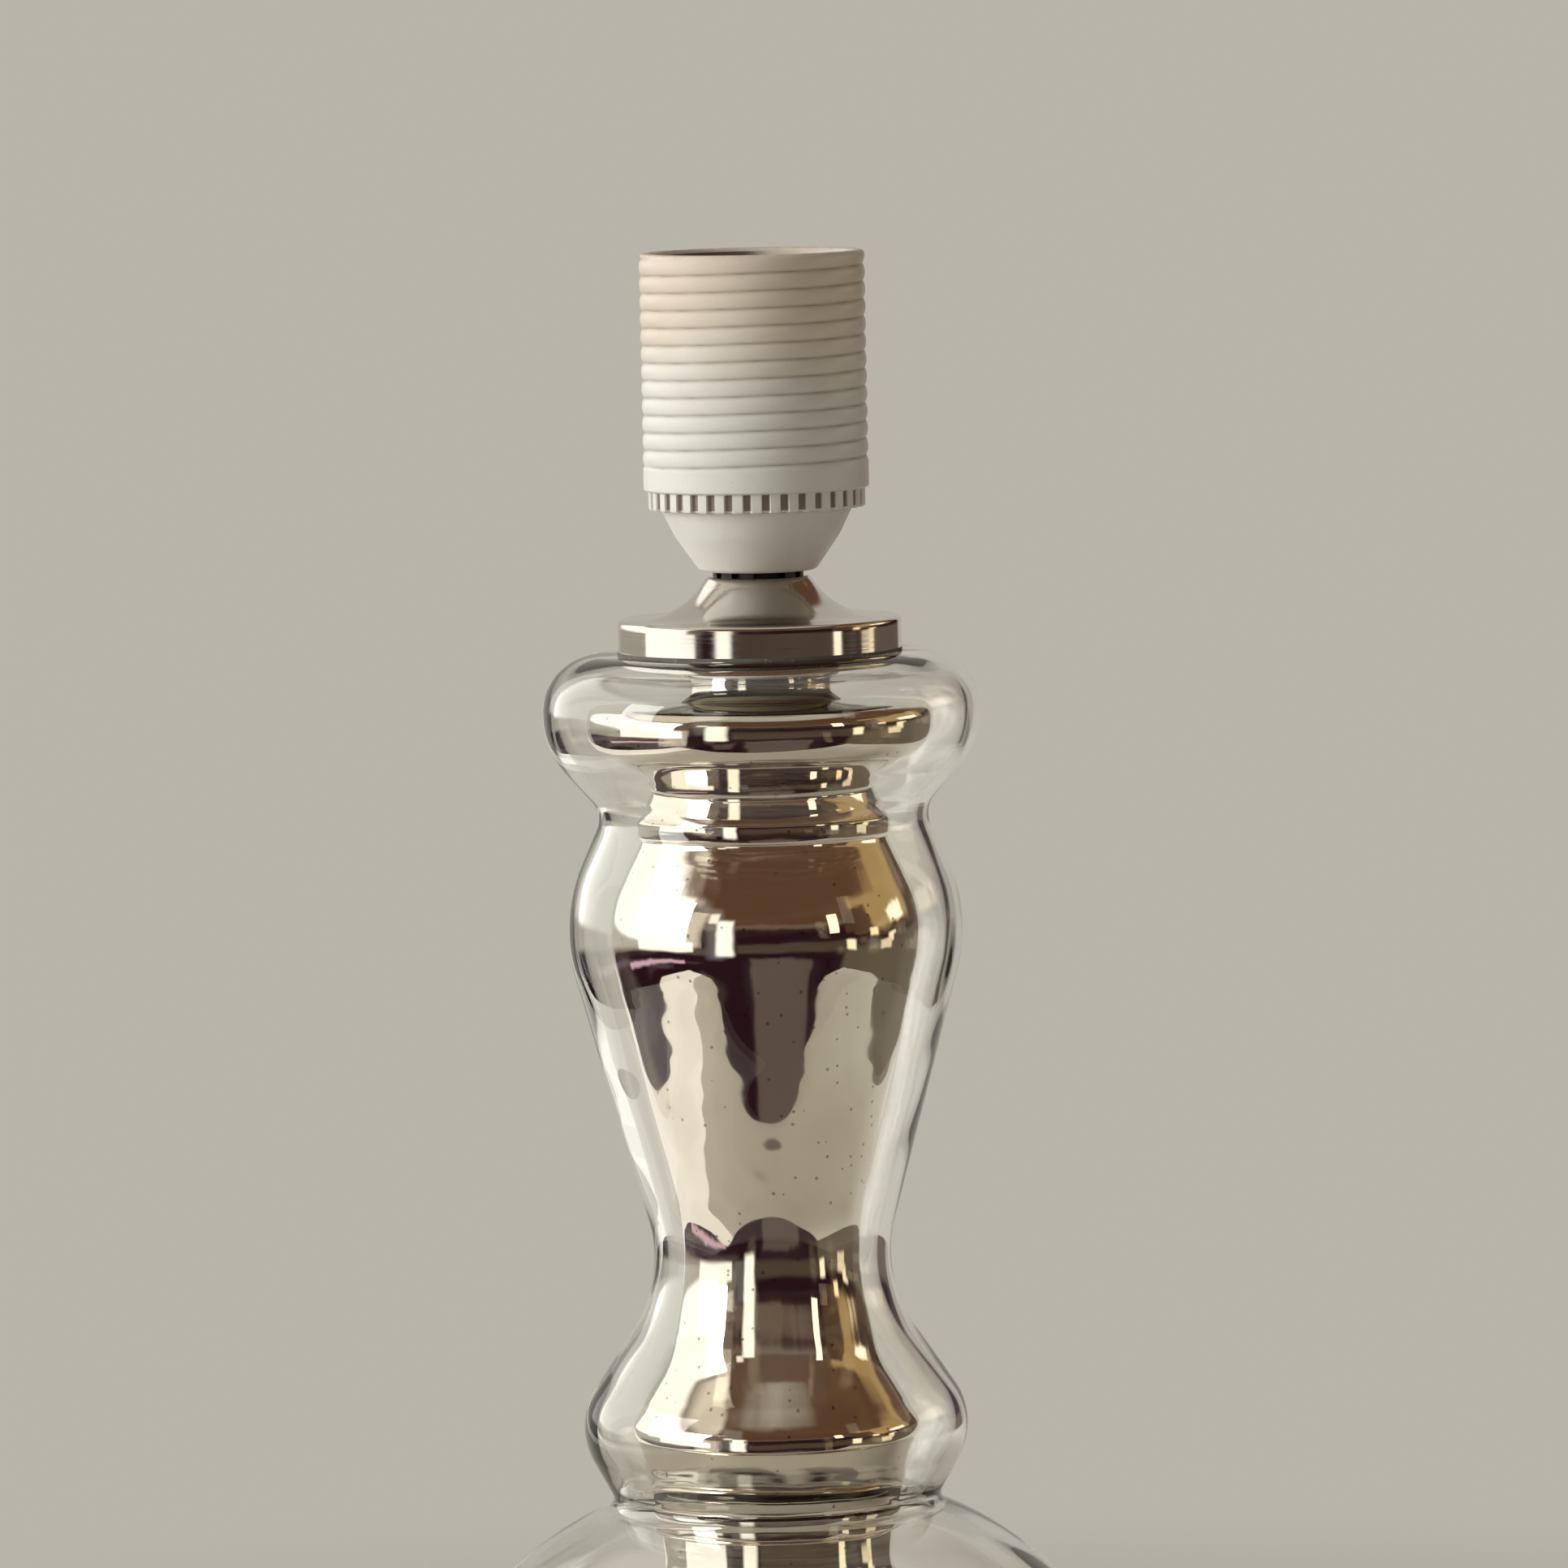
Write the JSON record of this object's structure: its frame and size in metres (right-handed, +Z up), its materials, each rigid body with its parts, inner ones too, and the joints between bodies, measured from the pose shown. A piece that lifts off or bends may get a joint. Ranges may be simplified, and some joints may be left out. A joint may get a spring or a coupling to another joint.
{
  "type": "candlestick lamp",
  "caption": "Candlestick table lamp: clear turned glass jacket round a silvered glass column on a domed foot, with a spun metal cap and a white threaded screw lampholder.",
  "frame": {"origin": "centre of the felt's underside, where the lamp stands on the table", "axes": "+Z up along the lamp's axis, the front faces -Y, the cable inlet is at +Y"},
  "size_m": [0.147, 0.1488, 0.2815],
  "materials": {
    "felt": "short dark green felt",
    "zinc_plate": "dull zinc-plated sheet",
    "zinc_steel": "zinc-plated steel",
    "dark_steel": "blued spring steel",
    "cast_iron": "as cast, painted grey",
    "chrome_plate": "polished plating on spun sheet",
    "black_rubber": "matt rubber",
    "grey_rubber": "matt rubber sheet",
    "clear_glass": "clear mould-blown glass, slightly wavy",
    "silvered_glass": "glass silvered on its inside, slightly warm",
    "natural_nylon": "natural nylon",
    "clear_seal": "thin grey rubber",
    "white_plastic": "white thermoplastic, slightly yellowed",
    "insert_plastic": "white heat-proof moulding",
    "contact_brass": "bright stamped brass"
  },
  "bodies": {
    "stand": {"felt_pad": "felt", "base_cover": "zinc_plate", "cover_screws": "zinc_steel", "ballast_ring": "cast_iron", "base_pan": "chrome_plate", "clamp_cup": "zinc_plate", "cable_grommet": "black_rubber", "rim_gasket": "grey_rubber", "glass_jacket": "clear_glass", "silvered_column": "silvered_glass", "centring_bush": "natural_nylon", "cap_seal": "clear_seal", "metal_cap": "chrome_plate", "threaded_tube": "zinc_steel", "bottom_washer": "zinc_steel", "bottom_spring_washer": "zinc_steel", "bottom_nut": "zinc_steel", "toothed_washer": "dark_steel", "lampholder_dome": "white_plastic", "entry_bush": "zinc_steel", "lock_grub_screw": "zinc_steel"},
    "insert": {"contact_insert": "insert_plastic", "centre_contact_foot": "contact_brass", "side_contact_foot": "contact_brass", "contact_rivets": "contact_brass", "terminal_blocks": "contact_brass", "terminal_screws": "zinc_steel"},
    "sleeve": {"lampholder_sleeve": "white_plastic"},
    "centre_contact": {"centre_contact_tongue": "contact_brass"},
    "side_contact": {"side_contact_tongue": "contact_brass"}
  },
  "joints": [
    {"name": "insert_rise", "type": "slide", "parent": "stand", "child": "insert", "axis": [0, 0, 1], "range_m": [0, 0.006]},
    {"name": "sleeve_unscrew", "type": "hinge", "parent": "insert", "child": "sleeve", "pos_m": [0, 0, 0.2365], "axis": [0, 0, 1], "range_deg": [0, 1080]},
    {"name": "centre_contact_press", "type": "hinge", "parent": "insert", "child": "centre_contact", "pos_m": [0.0051, 0, 0.249], "axis": [0, -1, 0], "range_deg": [0, 12], "stiffness_Nm_per_rad": 0.2, "springref_deg": -2.86},
    {"name": "side_contact_press", "type": "hinge", "parent": "insert", "child": "side_contact", "pos_m": [-0.011, 0, 0.249], "axis": [0, -1, 0], "range_deg": [0, 8], "stiffness_Nm_per_rad": 0.2, "springref_deg": -2.86}
  ],
  "couplings": [
    {"joint": "sleeve_unscrew", "follows": "insert_rise", "rad_per_m": 3141.6}
  ]
}
